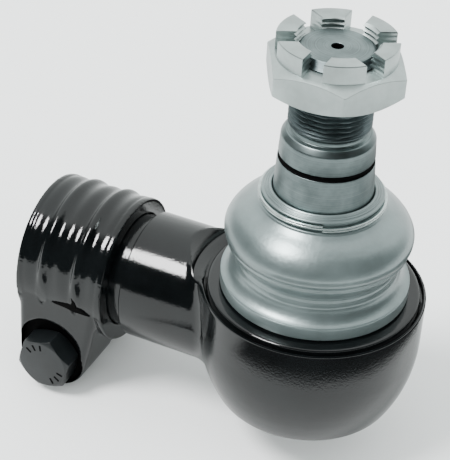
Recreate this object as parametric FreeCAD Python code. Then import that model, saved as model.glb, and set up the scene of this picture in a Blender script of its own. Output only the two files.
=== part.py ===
"""Tie rod end: an angle ball joint with a tapered stud and a slotted, clamped screw socket.

The origin is the ball's centre. The stud's axis is +Z and the socket opens along -X. Sizes are in millimetres."""

import FreeCAD, Part
import math
import os

# Ball, stud and thread
BALL_R = 18.0
BALL_FLAT_R = 8.0
NECK_R = 11.5
NECK_START_Z = 19.0
NECK_BEND_RISE = 0.55
NECK_BEND_SPREAD = 0.3
TAPER_BIG_Z = 42.0
TAPER_TOP_Z = 69.7
TAPER_TOP_R = 13.5
TAPER_RATIO = 1 / 8
GROOVE_Z = 62.0
GROOVE_WIDTH = 1.7
GROOVE_DEPTH = 0.7
UNDERCUT_R = 10.9
UNDERCUT_Z = 71.4
THREAD_START_Z = 74.0
THREAD_R = 12.0
STUD_TOP_Z = 97.3
STUD_CHAMFER = 1.9
CENTRE_HOLE_R = 1.5
CENTRE_HOLE_DEPTH = 4.0
PIN_HOLE_R = 2.5
PIN_HOLE_Z = 89.5

# Castle nut
NUT_FLATS = 36.0
NUT_BOTTOM_Z = 85.2
NUT_HEX_HEIGHT = 9.5
CROWN_HEIGHT = 5.4
CROWN_R = 16.9
NUT_FACE_R = 17.1
NUT_CHAMFER_DEG = 30.0
SLOT_WIDTH = 6.0
NUT_CORNER_DEG = -1.6
SIDES = 6

# Housing
POT_R = 34.0
POT_LEDGE_Z = 16.0
POT_WALL_FOOT_Z = 1.0
POT_BOTTOM_FILLET = 2.4
POT_TOP_CHAMFER = 0.5
WALL_FOOT_R = 36.3
WALL_TOP_R = 42.0
WALL_BEND_SPREAD = 0.2
WALL_BEND_RISE = 0.45
WALL_OVER_SHANK = 0.5
SHANK_R = 20.5
SHANK_END_X = -56.1
SHANK_CHAMFER = 0.6
NECK_FILLET = 7.0
SOCKET_R = 18.5
SOCKET_END_X = -92.0
SOCKET_THREAD_R = 15.0
SOCKET_DEPTH = 43.5
DRILL_POINT_SLOPE = 0.5
SOCKET_SLOT_WIDTH = 4.0
SOCKET_SLOT_LENGTH = 32.0

# Ball seats, spring and cover inside the housing
CAVITY_R = BALL_R + 4.5
SHOULDER_Z = BALL_R - 8.6
MOUTH_R = BALL_R - 0.6
COUNTERBORE_R = 33.0
COUNTERBORE_Z = 13.5
MOUTH_TOP_R = MOUTH_R + 4.1
SEAT_OPENING_R = BALL_R - 2.1
SEAT_SPLIT_GAP = 0.6
LOWER_SEAT_Z = -(BALL_R - 6.0)
LOWER_SEAT_HOLE_R = BALL_R - 4.4
SPRING_THICKNESS = 1.4
SPRING_INNER_R = BALL_R - 7.0
SPRING_OUTER_R = CAVITY_R - 3.0
COVER_R = CAVITY_R + 1.1
COVER_TOP_Z = LOWER_SEAT_Z - 4.6
COVER_THICKNESS = 3.4
COVER_DISH_CLEARANCE = 0.4
SEAL_R = 0.9
RETAINER_OUTER_R = COVER_R + 1.2
RETAINER_INNER_R = COVER_R - 3.2
RETAINER_THICKNESS = 1.3
POT_BOTTOM_Z = COVER_TOP_Z - COVER_THICKNESS - 2.0
POT_BOTTOM_R = COVER_R + 4.4

# Dust boot and its rings
BOOT_WALL = 1.7
BOOT_LIP_R = 15.25
BOOT_LIP_Z = 52.2
BOOT_COLLAR_R = 17.9
BOOT_COLLAR_EDGE_Z = 51.2
RING_R = 18.75
RING_BOTTOM_Z = 48.2
RING_TOP_Z = 50.8
RING_WIRE = 1.2
BOOT_SHOULDER_R = 18.7
BOOT_BULGE_R = 27.9
BOOT_BULGE_Z = 37.4
BOOT_SHOULDER_IN = 3.2
BOOT_SHOULDER_RISE = 6.6
BOOT_FOLD_IN = 0.9
BOOT_FOLD_DROP = 2.4
BOOT_INNER_FOLD_DROP = 1.9
BOOT_CREASE_R = 24.2
BOOT_CREASE_Z = 29.6
BOOT_RIB_R = 24.9
BOOT_RIB_Z = 26.6
BOOT_EDGE_R = 28.4
BOOT_EDGE_Z = 21.3
CLOSING_RING_R = 32.0
CLOSING_RING_EDGE_Z = 16.5
CLOSING_RING_TOP_Z = 17.0
CLOSING_RING_INNER_R = 27.3
SUPPORT_RING_WALL = 0.7
SUPPORT_RING_HEIGHT = 4.0

# Clamp
CLAMP_START_X = -60.8
CLAMP_LENGTH = 30.2
CLAMP_R = 23.3
BEAD_HEIGHT = 0.7
BEAD_WIDTH = 3.4
BEAD_SPACING = 11.8
RIM_HEIGHT = 0.5
RIM_WIDTH = 1.6
BOLT_X = -79.5
BOLT_Z = -27.3
EAR_R = 12.0
EAR_FACE_Y = 23.0
EAR_FILLET = 2.5
EAR_END_INSET = 0.3
CLAMP_GAP = 5.0
SPOT_R = 11.2
SPOT_RISE = 3.2
SPOT_FLOOR_Y = 19.8
BOLT_R = 6.0
BOLT_FLATS = 17.0
BOLT_HEAD_HEIGHT = 7.8
BOLT_NUT_HEIGHT = 9.5
BOLT_OVERHANG = 3.0
HEX_FACE_MARGIN = 0.4

# Fits
THREAD_CLEARANCE = 0.06
SLIP_CLEARANCE = 0.05
BALL_CLEARANCE = 0.04
SOFT_CLEARANCE = 0.3
BOLT_HOLE_CLEARANCE = 0.5
CLAMP_CLEARANCE = 0.08

X_AXIS = FreeCAD.Vector(1, 0, 0)
Z_AXIS = FreeCAD.Vector(0, 0, 1)
ORIGIN = FreeCAD.Vector(0, 0, 0)
TURNED_FROM_Z_TO_X = FreeCAD.Rotation(Z_AXIS, X_AXIS)
TURNED_FROM_Z_TO_MINUS_Y = FreeCAD.Rotation(Z_AXIS, FreeCAD.Vector(0, -1, 0))


def section(start, *steps):
    """A closed face in the XZ plane. Each step is an (r, z) point, or a pair of points for an arc."""
    edges = []
    here = start
    for step in (*steps, start):
        if isinstance(step[0], tuple):
            middle, end = step
            points = [FreeCAD.Vector(r, 0, z) for r, z in (here, middle, end)]
            edges.append(Part.Arc(*points).toShape())
        else:
            end = step
            if math.dist(here, end) < 1e-6:
                continue
            edges.append(Part.makeLine((here[0], 0, here[1]), (end[0], 0, end[1])))
        here = end
    return Part.Face(Part.Wire(edges))


def turned(start, *steps):
    """The solid that a section sweeps about the Z axis."""
    return section(start, *steps).revolve(ORIGIN, Z_AXIS, 360)


def ring(inner, outer, bottom, top):
    return turned((inner, bottom), (outer, bottom), (outer, top), (inner, top))


def along_x(shape):
    """Lays a shape that was turned about Z so that its axis is X, with its Z heights as X places."""
    laid = shape.copy()
    laid.Placement = FreeCAD.Placement(ORIGIN, TURNED_FROM_Z_TO_X)
    return laid


def at_bolt(shape):
    """Puts a shape made about Z on the bolt's axis, with its Z heights running toward -Y."""
    placed = shape.copy()
    placed.Placement = FreeCAD.Placement(FreeCAD.Vector(BOLT_X, 0, BOLT_Z), TURNED_FROM_Z_TO_MINUS_Y)
    return placed


def hexagon(flats, bottom, height, corner_deg=0.0):
    corner_r = flats / math.sqrt(3)
    angles = [math.radians(corner_deg + 360 / SIDES * side) for side in range(SIDES + 1)]
    points = [FreeCAD.Vector(corner_r * math.cos(a), corner_r * math.sin(a), bottom) for a in angles]
    return Part.Face(Part.makePolygon(points)).extrude(Z_AXIS * height)


def chamfered_hexagon(flats, face_r, bottom, height, corner_deg=0.0):
    """A hexagon whose corners are turned off at both faces, which leaves an arc on each flat."""
    corner_r = flats / math.sqrt(3)
    drop = (corner_r - face_r) * math.tan(math.radians(NUT_CHAMFER_DEG))
    top = bottom + height
    blank = turned(
        (0, bottom), (face_r, bottom), (corner_r, bottom + drop), (corner_r, top - drop), (face_r, top), (0, top)
    )
    return hexagon(flats, bottom, height, corner_deg).common(blank)


def taper_r(z):
    return TAPER_TOP_R + (TAPER_TOP_Z - z) * TAPER_RATIO / 2


def ball_stud():
    ball_bottom_z = -math.sqrt(BALL_R**2 - BALL_FLAT_R**2)
    neck_foot_z = math.sqrt(BALL_R**2 - NECK_R**2)
    big_r = taper_r(TAPER_BIG_Z)
    neck_middle_z = NECK_START_Z + NECK_BEND_RISE * (TAPER_BIG_Z - NECK_START_Z)
    neck_middle_r = NECK_R + NECK_BEND_SPREAD * (big_r - NECK_R)
    groove_top_z = GROOVE_Z + GROOVE_WIDTH
    shoulder_r = THREAD_R - SLIP_CLEARANCE
    stud = turned(
        (0, ball_bottom_z),
        (BALL_FLAT_R, ball_bottom_z),
        ((BALL_R, 0), (NECK_R, neck_foot_z)),
        (NECK_R, NECK_START_Z),
        ((neck_middle_r, neck_middle_z), (big_r, TAPER_BIG_Z)),
        (taper_r(GROOVE_Z), GROOVE_Z),
        (taper_r(GROOVE_Z) - GROOVE_DEPTH, GROOVE_Z),
        (taper_r(groove_top_z) - GROOVE_DEPTH, groove_top_z),
        (taper_r(groove_top_z), groove_top_z),
        (TAPER_TOP_R, TAPER_TOP_Z),
        (shoulder_r, UNDERCUT_Z),
        (UNDERCUT_R, UNDERCUT_Z),
        (UNDERCUT_R, THREAD_START_Z - (THREAD_R - UNDERCUT_R)),
        (shoulder_r, THREAD_START_Z),
        (shoulder_r, STUD_TOP_Z - STUD_CHAMFER),
        (shoulder_r - STUD_CHAMFER, STUD_TOP_Z),
        (CENTRE_HOLE_R, STUD_TOP_Z),
        (CENTRE_HOLE_R, STUD_TOP_Z - CENTRE_HOLE_DEPTH),
        (0, STUD_TOP_Z - CENTRE_HOLE_DEPTH - CENTRE_HOLE_R),
    )
    slot_deg = NUT_CORNER_DEG + 180 / SIDES
    across = FreeCAD.Vector(math.cos(math.radians(slot_deg)), math.sin(math.radians(slot_deg)), 0)
    start = FreeCAD.Vector(0, 0, PIN_HOLE_Z) - across * 2 * THREAD_R
    return stud.cut(Part.makeCylinder(PIN_HOLE_R, 4 * THREAD_R, start, across))


def castle_nut():
    hex_top_z = NUT_BOTTOM_Z + NUT_HEX_HEIGHT
    crown_top_z = hex_top_z + CROWN_HEIGHT
    bore_r = THREAD_R + THREAD_CLEARANCE - SLIP_CLEARANCE
    nut = chamfered_hexagon(NUT_FLATS, NUT_FACE_R, NUT_BOTTOM_Z, NUT_HEX_HEIGHT, NUT_CORNER_DEG)
    nut = nut.fuse(Part.makeCylinder(CROWN_R, CROWN_HEIGHT, FreeCAD.Vector(0, 0, hex_top_z)))
    nut = nut.cut(ring(0, bore_r, NUT_BOTTOM_Z - 1, crown_top_z + 1))
    slot = Part.makeBox(2 * NUT_FLATS, SLOT_WIDTH, CROWN_HEIGHT + 1)
    slot.translate(FreeCAD.Vector(-NUT_FLATS, -SLOT_WIDTH / 2, hex_top_z))
    for number in range(SIDES // 2):
        cutter = slot.copy()
        cutter.rotate(ORIGIN, Z_AXIS, NUT_CORNER_DEG + 180 / SIDES + 360 / SIDES * number)
        nut = nut.cut(cutter)
    return nut


def pot():
    """The housing's bowl: an upright wall over one that curves in. It starts taller than the ledge."""
    depth = POT_WALL_FOOT_Z - POT_BOTTOM_Z
    narrowing = POT_R - POT_BOTTOM_R
    curve_r = (depth**2 + narrowing**2) / (2 * narrowing)
    half_turn = math.asin(depth / curve_r) / 2
    middle_r = POT_R - curve_r * (1 - math.cos(half_turn))
    middle_z = POT_WALL_FOOT_Z - curve_r * math.sin(half_turn)
    blank_top_z = SHANK_R + NECK_FILLET + 1
    return turned(
        (0, POT_BOTTOM_Z),
        (POT_BOTTOM_R, POT_BOTTOM_Z),
        ((middle_r, middle_z), (POT_R, POT_WALL_FOOT_Z)),
        (POT_R, blank_top_z),
        (0, blank_top_z),
    )


def shank():
    """The round arm from the pot to its shoulder, and the slimmer socket that the clamp sits on."""
    return along_x(
        turned(
            (0, SOCKET_END_X),
            (SOCKET_R - SHANK_CHAMFER, SOCKET_END_X),
            (SOCKET_R, SOCKET_END_X + SHANK_CHAMFER),
            (SOCKET_R, SHANK_END_X),
            (SHANK_R - SHANK_CHAMFER, SHANK_END_X),
            (SHANK_R, SHANK_END_X + SHANK_CHAMFER),
            (SHANK_R, 0),
            (0, 0),
        )
    )


def seam_of(body):
    """The edges where the shank's side runs into the pot's wall."""
    seam = []
    for edge in body.Edges:
        start, end = edge.Vertexes[0].Point, edge.Vertexes[-1].Point
        on_shank = all(abs(math.hypot(p.y, p.z) - SHANK_R) < 1e-3 for p in (start, end))
        if on_shank and -POT_R - 1e-3 < edge.CenterOfMass.x < -POT_BOTTOM_R / 2:
            if math.hypot(start.x - end.x, start.z - end.z) + abs(start.y - end.y) > 1e-3:
                seam.append(edge)
    return seam


def mouth_cut():
    """Clears the space above the ledge, and leaves a hollow wall on the shank about the stud's axis."""
    middle_r = WALL_FOOT_R + WALL_BEND_SPREAD * (WALL_TOP_R - WALL_FOOT_R)
    middle_z = POT_LEDGE_Z + WALL_BEND_RISE * (SHANK_R - POT_LEDGE_Z)
    top_z = 2 * SHANK_R
    return turned(
        (0, POT_LEDGE_Z),
        (WALL_FOOT_R, POT_LEDGE_Z),
        ((middle_r, middle_z), (WALL_TOP_R, SHANK_R + WALL_OVER_SHANK)),
        (WALL_TOP_R, top_z),
        (0, top_z),
    )


def rim_of(body, radius, z):
    """The round edges of one radius about the stud's axis at one height."""
    return [
        e
        for e in body.Edges
        if isinstance(e.Curve, Part.Circle)
        and abs(e.Curve.Radius - radius) < 1e-3
        and abs(e.Curve.Center.z - z) < 1e-3
    ]


def cavity():
    """Everything bored out about the stud's axis: counterbore, mouth, seat bore, cover step and ring groove."""
    cover_bottom_z = COVER_TOP_Z - COVER_THICKNESS
    groove_bottom_z = cover_bottom_z - RETAINER_THICKNESS - SLIP_CLEARANCE
    groove_r = RETAINER_OUTER_R + SLIP_CLEARANCE
    cover_bore_r = COVER_R + SLIP_CLEARANCE
    return turned(
        (0, POT_LEDGE_Z + 1),
        (COUNTERBORE_R, POT_LEDGE_Z + 1),
        (COUNTERBORE_R, COUNTERBORE_Z),
        (MOUTH_TOP_R, COUNTERBORE_Z),
        (MOUTH_R, SHOULDER_Z),
        (CAVITY_R, SHOULDER_Z),
        (CAVITY_R, COVER_TOP_Z),
        (cover_bore_r, COVER_TOP_Z),
        (cover_bore_r, cover_bottom_z),
        (groove_r, cover_bottom_z),
        (groove_r, groove_bottom_z),
        (cover_bore_r - SLIP_CLEARANCE, groove_bottom_z),
        (cover_bore_r - SLIP_CLEARANCE, POT_BOTTOM_Z - 1),
        (0, POT_BOTTOM_Z - 1),
    )


def socket_bore():
    floor_x = SOCKET_END_X + SOCKET_DEPTH
    drill_point = SOCKET_THREAD_R * DRILL_POINT_SLOPE
    return along_x(
        turned(
            (0, SOCKET_END_X - 1),
            (SOCKET_THREAD_R, SOCKET_END_X - 1),
            (SOCKET_THREAD_R, floor_x - drill_point),
            (0, floor_x),
        )
    )


def socket_slot():
    """The slit under the socket, ended by a round hole, that lets the clamp close it."""
    slit = Part.makeBox(SOCKET_SLOT_LENGTH, SOCKET_SLOT_WIDTH, 2 * SOCKET_R)
    slit.translate(FreeCAD.Vector(SOCKET_END_X, -SOCKET_SLOT_WIDTH / 2, -2 * SOCKET_R))
    end = FreeCAD.Vector(SOCKET_END_X + SOCKET_SLOT_LENGTH, 0, -2 * SOCKET_R)
    return slit.fuse(Part.makeCylinder(SOCKET_SLOT_WIDTH / 2, 2 * SOCKET_R, end))


def housing():
    body = pot().fuse(shank()).removeSplitter()
    body = body.makeFillet(POT_BOTTOM_FILLET, rim_of(body, POT_BOTTOM_R, POT_BOTTOM_Z))
    body = body.makeFillet(NECK_FILLET, seam_of(body))
    body = body.cut(mouth_cut())
    body = body.makeChamfer(POT_TOP_CHAMFER, rim_of(body, POT_R, POT_LEDGE_Z))
    for cutter in (cavity(), socket_bore(), socket_slot()):
        body = body.cut(cutter)
    return body


def upper_ball_seat():
    """The ring over the ball, with a round seat and a flared opening for the neck."""
    seat_r = BALL_R + BALL_CLEARANCE
    bottom = SEAT_SPLIT_GAP / 2
    top = SHOULDER_Z - SLIP_CLEARANCE
    outer = CAVITY_R - SLIP_CLEARANCE
    blank = ring(SEAT_OPENING_R, outer, bottom, top)
    return blank.cut(Part.makeSphere(seat_r))


def lower_ball_seat():
    seat_r = BALL_R + BALL_CLEARANCE
    outer = CAVITY_R - SLIP_CLEARANCE
    blank = ring(LOWER_SEAT_HOLE_R, outer, LOWER_SEAT_Z, -SEAT_SPLIT_GAP / 2)
    return blank.cut(Part.makeSphere(seat_r))


def pressure_spring():
    """A cone-shaped disc spring that holds the lower seat up against the ball."""
    top = LOWER_SEAT_Z - SLIP_CLEARANCE
    bottom = COVER_TOP_Z + SLIP_CLEARANCE
    return turned(
        (SPRING_OUTER_R, top),
        (SPRING_OUTER_R, top - SPRING_THICKNESS),
        (SPRING_INNER_R, bottom),
        (SPRING_INNER_R, bottom + SPRING_THICKNESS),
    )


def seal_centre_z():
    return COVER_TOP_Z - COVER_THICKNESS / 2


def cover_plate():
    """The plate that closes the bore from below, dished so that the swinging ball clears it."""
    bottom = COVER_TOP_Z - COVER_THICKNESS
    groove_half = SEAL_R + SLIP_CLEARANCE
    groove_floor = COVER_R - 2 * SEAL_R
    plate = turned(
        (0, bottom),
        (COVER_R, bottom),
        (COVER_R, seal_centre_z() - groove_half),
        (groove_floor, seal_centre_z() - groove_half),
        (groove_floor, seal_centre_z() + groove_half),
        (COVER_R, seal_centre_z() + groove_half),
        (COVER_R, COVER_TOP_Z - SLIP_CLEARANCE),
        (0, COVER_TOP_Z - SLIP_CLEARANCE),
    )
    return plate.cut(Part.makeSphere(BALL_R + COVER_DISH_CLEARANCE))


def cover_seal():
    return Part.makeTorus(COVER_R - SEAL_R, SEAL_R - SLIP_CLEARANCE / 2, FreeCAD.Vector(0, 0, seal_centre_z()))


def cover_retaining_ring():
    top = COVER_TOP_Z - COVER_THICKNESS - SLIP_CLEARANCE / 2
    hoop = ring(RETAINER_INNER_R, RETAINER_OUTER_R, top - RETAINER_THICKNESS, top)
    gap = 2 * RETAINER_THICKNESS
    opening = Part.makeBox(2 * RETAINER_OUTER_R, gap, 2 * RETAINER_THICKNESS)
    opening.translate(FreeCAD.Vector(0, -gap / 2, top - 1.5 * RETAINER_THICKNESS))
    return hoop.cut(opening)


def dust_boot():
    """The rubber bellows as one plain shell, from its lip on the stud to its bead in the housing's mouth."""
    bead_inner_r = CLOSING_RING_INNER_R - SOFT_CLEARANCE - 2 * BOOT_WALL
    bead_outer_r = CLOSING_RING_INNER_R - SOFT_CLEARANCE
    bead_bottom_z = COUNTERBORE_Z + SOFT_CLEARANCE
    ring_seat_r = RING_R - RING_WIRE - SOFT_CLEARANCE
    collar_inner_r = taper_r(RING_BOTTOM_Z) + SUPPORT_RING_WALL + 2 * SOFT_CLEARANCE
    under_ring_z = RING_BOTTOM_Z - SOFT_CLEARANCE
    over_ring_z = RING_TOP_Z + SOFT_CLEARANCE
    shoulder_mid = (BOOT_BULGE_R - BOOT_SHOULDER_IN, BOOT_BULGE_Z + BOOT_SHOULDER_RISE)
    fold_mid = (BOOT_BULGE_R - BOOT_FOLD_IN, BOOT_BULGE_Z - BOOT_FOLD_DROP)
    inner_fold_mid = (fold_mid[0] - BOOT_WALL, BOOT_BULGE_Z - BOOT_INNER_FOLD_DROP)
    flange_under_z = CLOSING_RING_TOP_Z + SOFT_CLEARANCE
    return turned(
        (BOOT_LIP_R, BOOT_LIP_Z),
        (BOOT_COLLAR_R, BOOT_COLLAR_EDGE_Z),
        (BOOT_COLLAR_R, over_ring_z),
        (ring_seat_r, over_ring_z),
        (ring_seat_r, under_ring_z),
        (BOOT_SHOULDER_R, under_ring_z),
        (shoulder_mid, (BOOT_BULGE_R, BOOT_BULGE_Z)),
        (fold_mid, (BOOT_CREASE_R, BOOT_CREASE_Z)),
        (BOOT_RIB_R, BOOT_RIB_Z),
        (BOOT_EDGE_R, BOOT_EDGE_Z),
        (BOOT_EDGE_R, flange_under_z),
        (bead_outer_r, flange_under_z),
        (bead_outer_r, bead_bottom_z),
        (bead_inner_r, bead_bottom_z),
        (bead_inner_r, flange_under_z),
        (BOOT_RIB_R - BOOT_WALL, BOOT_RIB_Z),
        (BOOT_CREASE_R - BOOT_WALL, BOOT_CREASE_Z),
        (inner_fold_mid, (BOOT_BULGE_R - BOOT_WALL, BOOT_BULGE_Z)),
        ((shoulder_mid[0] - BOOT_WALL, shoulder_mid[1] - BOOT_WALL), (collar_inner_r, under_ring_z - BOOT_WALL)),
        (collar_inner_r, BOOT_LIP_Z - BOOT_WALL),
        (BOOT_LIP_R, BOOT_LIP_Z - BOOT_WALL),
    )


def boot_support_ring():
    inner = taper_r(RING_BOTTOM_Z) + SOFT_CLEARANCE
    outer = inner + SUPPORT_RING_WALL
    top = BOOT_LIP_Z - BOOT_WALL - SOFT_CLEARANCE
    return ring(inner, outer, top - SUPPORT_RING_HEIGHT, top)


def boot_upper_ring():
    return ring(RING_R - RING_WIRE, RING_R, RING_BOTTOM_Z, RING_TOP_Z)


def boot_lower_ring():
    """The closing ring that fills the counterbore and traps the boot's bead."""
    bottom = COUNTERBORE_Z + SLIP_CLEARANCE
    return turned(
        (CLOSING_RING_INNER_R, bottom),
        (CLOSING_RING_R, bottom),
        (CLOSING_RING_R, CLOSING_RING_EDGE_Z),
        (BOOT_EDGE_R + SOFT_CLEARANCE, CLOSING_RING_TOP_Z),
        (CLOSING_RING_INNER_R, CLOSING_RING_TOP_Z),
    )


def clamp_barrel():
    """The clamp's round band, with a low rim at each end and two raised beads around it."""
    near = CLAMP_START_X
    far = CLAMP_START_X - CLAMP_LENGTH
    middle = (near + far) / 2
    band = ring(0, CLAMP_R, far, near)
    for start in (far, near - RIM_WIDTH):
        band = band.fuse(ring(0, CLAMP_R + RIM_HEIGHT, start, start + RIM_WIDTH))
    for side in (-1, 1):
        centre = middle + side * BEAD_SPACING / 2
        bead = turned(
            (0, centre - BEAD_WIDTH / 2),
            (CLAMP_R, centre - BEAD_WIDTH / 2),
            ((CLAMP_R + BEAD_HEIGHT, centre), (CLAMP_R, centre + BEAD_WIDTH / 2)),
            (0, centre + BEAD_WIDTH / 2),
        )
        band = band.fuse(bead)
    return along_x(band)


def ear_tangent(corner_x, side):
    """Where a line from a corner at the band's middle height touches the ear's round end."""
    across = corner_x - BOLT_X
    to_corner = math.atan2(-BOLT_Z, across)
    angle = to_corner - side * math.acos(EAR_R / math.hypot(across, BOLT_Z))
    return FreeCAD.Vector(BOLT_X + EAR_R * math.cos(angle), -EAR_FACE_Y, BOLT_Z + EAR_R * math.sin(angle))


def clamp_ears():
    """A block as thick as both ears: as long as the band at its top, and round about the bolt."""
    near = CLAMP_START_X - EAR_END_INSET
    far = CLAMP_START_X - CLAMP_LENGTH + EAR_END_INSET
    corners = [FreeCAD.Vector(far, -EAR_FACE_Y, 0), FreeCAD.Vector(near, -EAR_FACE_Y, 0)]
    outline = Part.makePolygon([*corners, ear_tangent(near, 1), ear_tangent(far, -1), corners[0]])
    web = Part.Face(outline).extrude(FreeCAD.Vector(0, 2 * EAR_FACE_Y, 0))
    block = at_bolt(ring(0, EAR_R, -EAR_FACE_Y, EAR_FACE_Y)).fuse(web).removeSplitter()
    rims = [e for e in block.Edges if abs(abs(e.CenterOfMass.y) - EAR_FACE_Y) < 1e-3 and e.CenterOfMass.z < -1]
    return block.makeFillet(EAR_FILLET, rims)


def spot_face(low, high):
    """A pocket for a hexagon, round about the bolt and stretched up toward the band."""
    pocket = at_bolt(ring(0, SPOT_R, low, high))
    raised = pocket.copy()
    raised.translate(FreeCAD.Vector(0, 0, SPOT_RISE))
    between = Part.makeBox(2 * SPOT_R, high - low, SPOT_RISE)
    between.translate(FreeCAD.Vector(BOLT_X - SPOT_R, -high, BOLT_Z))
    return pocket.fuse(raised).fuse(between)


def clamp_collar():
    body = clamp_barrel().fuse(clamp_ears())
    body = body.cut(along_x(ring(0, SOCKET_R + CLAMP_CLEARANCE, 2 * SOCKET_END_X, 0)))
    gap = Part.makeBox(4 * EAR_R, CLAMP_GAP, 2 * CLAMP_R)
    gap.translate(FreeCAD.Vector(BOLT_X - 2 * EAR_R, -CLAMP_GAP / 2, -2 * CLAMP_R - SOCKET_THREAD_R))
    body = body.cut(gap)
    body = body.cut(at_bolt(ring(0, BOLT_R + BOLT_HOLE_CLEARANCE, -2 * EAR_FACE_Y, 2 * EAR_FACE_Y)))
    for low, high in ((SPOT_FLOOR_Y, 2 * CLAMP_R), (-2 * CLAMP_R, -SPOT_FLOOR_Y)):
        body = body.cut(spot_face(low, high))
    return body


def clamp_bolt():
    head_bottom = SPOT_FLOOR_Y + SLIP_CLEARANCE
    tip = -(SPOT_FLOOR_Y + BOLT_NUT_HEIGHT + BOLT_OVERHANG)
    shaft = turned(
        (0, tip), (BOLT_R - 1, tip), (BOLT_R, tip + 1), (BOLT_R, head_bottom), (0, head_bottom)
    )
    face_r = BOLT_FLATS / 2 - HEX_FACE_MARGIN
    head = chamfered_hexagon(BOLT_FLATS, face_r, head_bottom, BOLT_HEAD_HEIGHT, 360 / SIDES / 4)
    return at_bolt(shaft.fuse(head))


def clamp_nut():
    top = -SPOT_FLOOR_Y - SLIP_CLEARANCE
    face_r = BOLT_FLATS / 2 - HEX_FACE_MARGIN
    blank = chamfered_hexagon(BOLT_FLATS, face_r, top - BOLT_NUT_HEIGHT, BOLT_NUT_HEIGHT)
    bore = ring(0, BOLT_R + THREAD_CLEARANCE, 2 * top - BOLT_NUT_HEIGHT, 0)
    return at_bolt(blank.cut(bore))


NODES = {
    "housing": housing,
    "ball_stud": ball_stud,
    "castle_nut": castle_nut,
    "upper_ball_seat": upper_ball_seat,
    "lower_ball_seat": lower_ball_seat,
    "pressure_spring": pressure_spring,
    "cover_plate": cover_plate,
    "cover_seal": cover_seal,
    "cover_retaining_ring": cover_retaining_ring,
    "dust_boot": dust_boot,
    "boot_support_ring": boot_support_ring,
    "boot_upper_ring": boot_upper_ring,
    "boot_lower_ring": boot_lower_ring,
    "clamp_collar": clamp_collar,
    "clamp_bolt": clamp_bolt,
    "clamp_nut": clamp_nut,
}


def main():
    os.makedirs("parts", exist_ok=True)
    for node, make in NODES.items():
        shape = make()
        box = shape.BoundBox
        print(
            f"{node}: {len(shape.Solids)} solid, valid {shape.isValid()}, {shape.Volume:.0f} mm3,"
            f" x {box.XMin:.1f} {box.XMax:.1f}, y {box.YMin:.1f} {box.YMax:.1f}, z {box.ZMin:.1f} {box.ZMax:.1f}"
        )
        shape.exportStep(f"parts/{node}.step")


main()
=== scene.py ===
"""Tie rod end: threads, crown nut, rubber boot, painted forging, clamp and studio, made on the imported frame."""

import math

import bmesh
import bpy
from bpy.props import FloatProperty, FloatVectorProperty, IntProperty, PointerProperty
from mathutils import Matrix, Vector


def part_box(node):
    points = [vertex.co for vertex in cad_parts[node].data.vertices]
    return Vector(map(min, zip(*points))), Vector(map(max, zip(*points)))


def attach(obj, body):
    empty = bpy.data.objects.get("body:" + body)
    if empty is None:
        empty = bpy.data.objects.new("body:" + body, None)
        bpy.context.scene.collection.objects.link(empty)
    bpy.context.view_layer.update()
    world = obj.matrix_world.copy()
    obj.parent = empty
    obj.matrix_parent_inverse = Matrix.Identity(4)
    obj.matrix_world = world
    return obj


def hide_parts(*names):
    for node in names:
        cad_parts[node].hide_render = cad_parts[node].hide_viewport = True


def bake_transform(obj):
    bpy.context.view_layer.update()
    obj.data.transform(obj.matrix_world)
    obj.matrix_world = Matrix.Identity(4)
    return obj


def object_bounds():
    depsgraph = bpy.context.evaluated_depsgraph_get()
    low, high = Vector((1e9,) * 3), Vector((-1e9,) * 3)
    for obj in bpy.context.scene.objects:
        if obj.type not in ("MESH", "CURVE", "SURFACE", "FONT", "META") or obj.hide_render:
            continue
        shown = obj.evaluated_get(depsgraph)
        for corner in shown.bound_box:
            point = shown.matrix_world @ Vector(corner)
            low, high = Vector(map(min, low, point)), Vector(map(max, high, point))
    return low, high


bl_info = {
    "name": "Tie Rod End",
    "version": (1, 0, 0),
    "blender": (4, 5, 0),
    "location": "3D View > Sidebar > Tie Rod End",
    "description": "Makes the visible pieces of a clamped tie rod end, its finishes and its studio",
    "category": "Object",
}

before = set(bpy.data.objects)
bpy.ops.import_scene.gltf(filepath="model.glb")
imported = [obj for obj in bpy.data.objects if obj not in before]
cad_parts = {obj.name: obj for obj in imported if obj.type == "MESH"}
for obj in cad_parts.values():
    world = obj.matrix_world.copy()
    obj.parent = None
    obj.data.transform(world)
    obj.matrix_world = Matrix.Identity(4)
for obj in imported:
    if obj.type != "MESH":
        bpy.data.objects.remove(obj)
CAD_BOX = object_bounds()

MM = 0.001
THREAD_ROWS = 10
FULL_TURN = 2 * math.pi


# Sizes and colours that a user would change


class TierodSizes(bpy.types.PropertyGroup):
    stud_thread_r: FloatProperty(
        name="Stud thread radius", description="Crest radius of the stud's thread", default=0.01195, unit="LENGTH"
    )
    nut_thread_r: FloatProperty(
        name="Nut thread radius", description="Root radius of the nut's thread", default=0.01201, unit="LENGTH"
    )
    thread_pitch: FloatProperty(
        name="Thread pitch", description="Rise of the stud's thread in one turn", default=0.0015, unit="LENGTH"
    )
    thread_depth: FloatProperty(
        name="Thread depth", description="Depth of the stud's thread from crest to root", default=0.0008, unit="LENGTH"
    )
    socket_thread_depth: FloatProperty(
        name="Socket thread depth", description="Height of the socket's inner thread", default=0.0009, unit="LENGTH"
    )
    bolt_pitch: FloatProperty(
        name="Bolt pitch", description="Rise of the clamp bolt's thread in one turn", default=0.00175, unit="LENGTH"
    )
    lug_count: IntProperty(name="Nut lugs", description="Number of lugs on the castle nut", default=6, min=3)
    ring_turns: FloatProperty(name="Ring turns", description="Turns in the boot's upper ring", default=2.0, min=1.0)
    ring_wire: FloatProperty(
        name="Ring wire", description="Thickness of the boot's upper ring wire", default=0.00118, unit="LENGTH"
    )


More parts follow.
